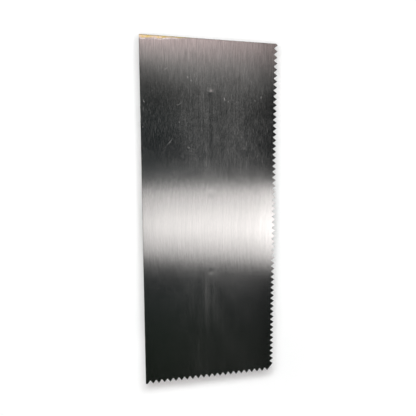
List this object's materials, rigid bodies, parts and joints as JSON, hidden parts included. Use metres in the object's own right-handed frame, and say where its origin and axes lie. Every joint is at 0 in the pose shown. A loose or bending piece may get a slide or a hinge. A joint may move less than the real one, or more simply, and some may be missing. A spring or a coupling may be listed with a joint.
{
  "type": "notched trowel",
  "caption": "Flat steel trowel with V-notched long and short edges, riveted to a cast rail whose neck carries a turned wooden grip.",
  "frame": {"origin": "on the ground below the middle of the blade, the trowel lying on its back on the grip's flat crown", "axes": "+Z out of the blade's working face, +Y along the blade towards its plain short edge, +X towards the toothed long edge"},
  "size_m": [0.112, 0.281, 0.0661],
  "materials": {
    "blade_steel": "brushed along the blade, lightly scratched",
    "cast_alloy": "satin cast, tumbled",
    "rivet_steel": "peened, satin",
    "grip_wood": "turned hardwood, oiled",
    "plated_steel": "zinc plated"
  },
  "bodies": {
    "root": {"blade": "blade_steel", "mounting": "cast_alloy", "rivet_1": "rivet_steel", "rivet_2": "rivet_steel", "rivet_3": "rivet_steel", "rivet_4": "rivet_steel", "rivet_5": "rivet_steel", "rivet_6": "rivet_steel", "rivet_7": "rivet_steel", "rivet_8": "rivet_steel", "grip": "grip_wood", "ferrule": "plated_steel", "tang_rod": "plated_steel", "end_washer": "plated_steel", "spring_washer": "plated_steel", "cap_nut": "plated_steel"}
  },
  "joints": []
}
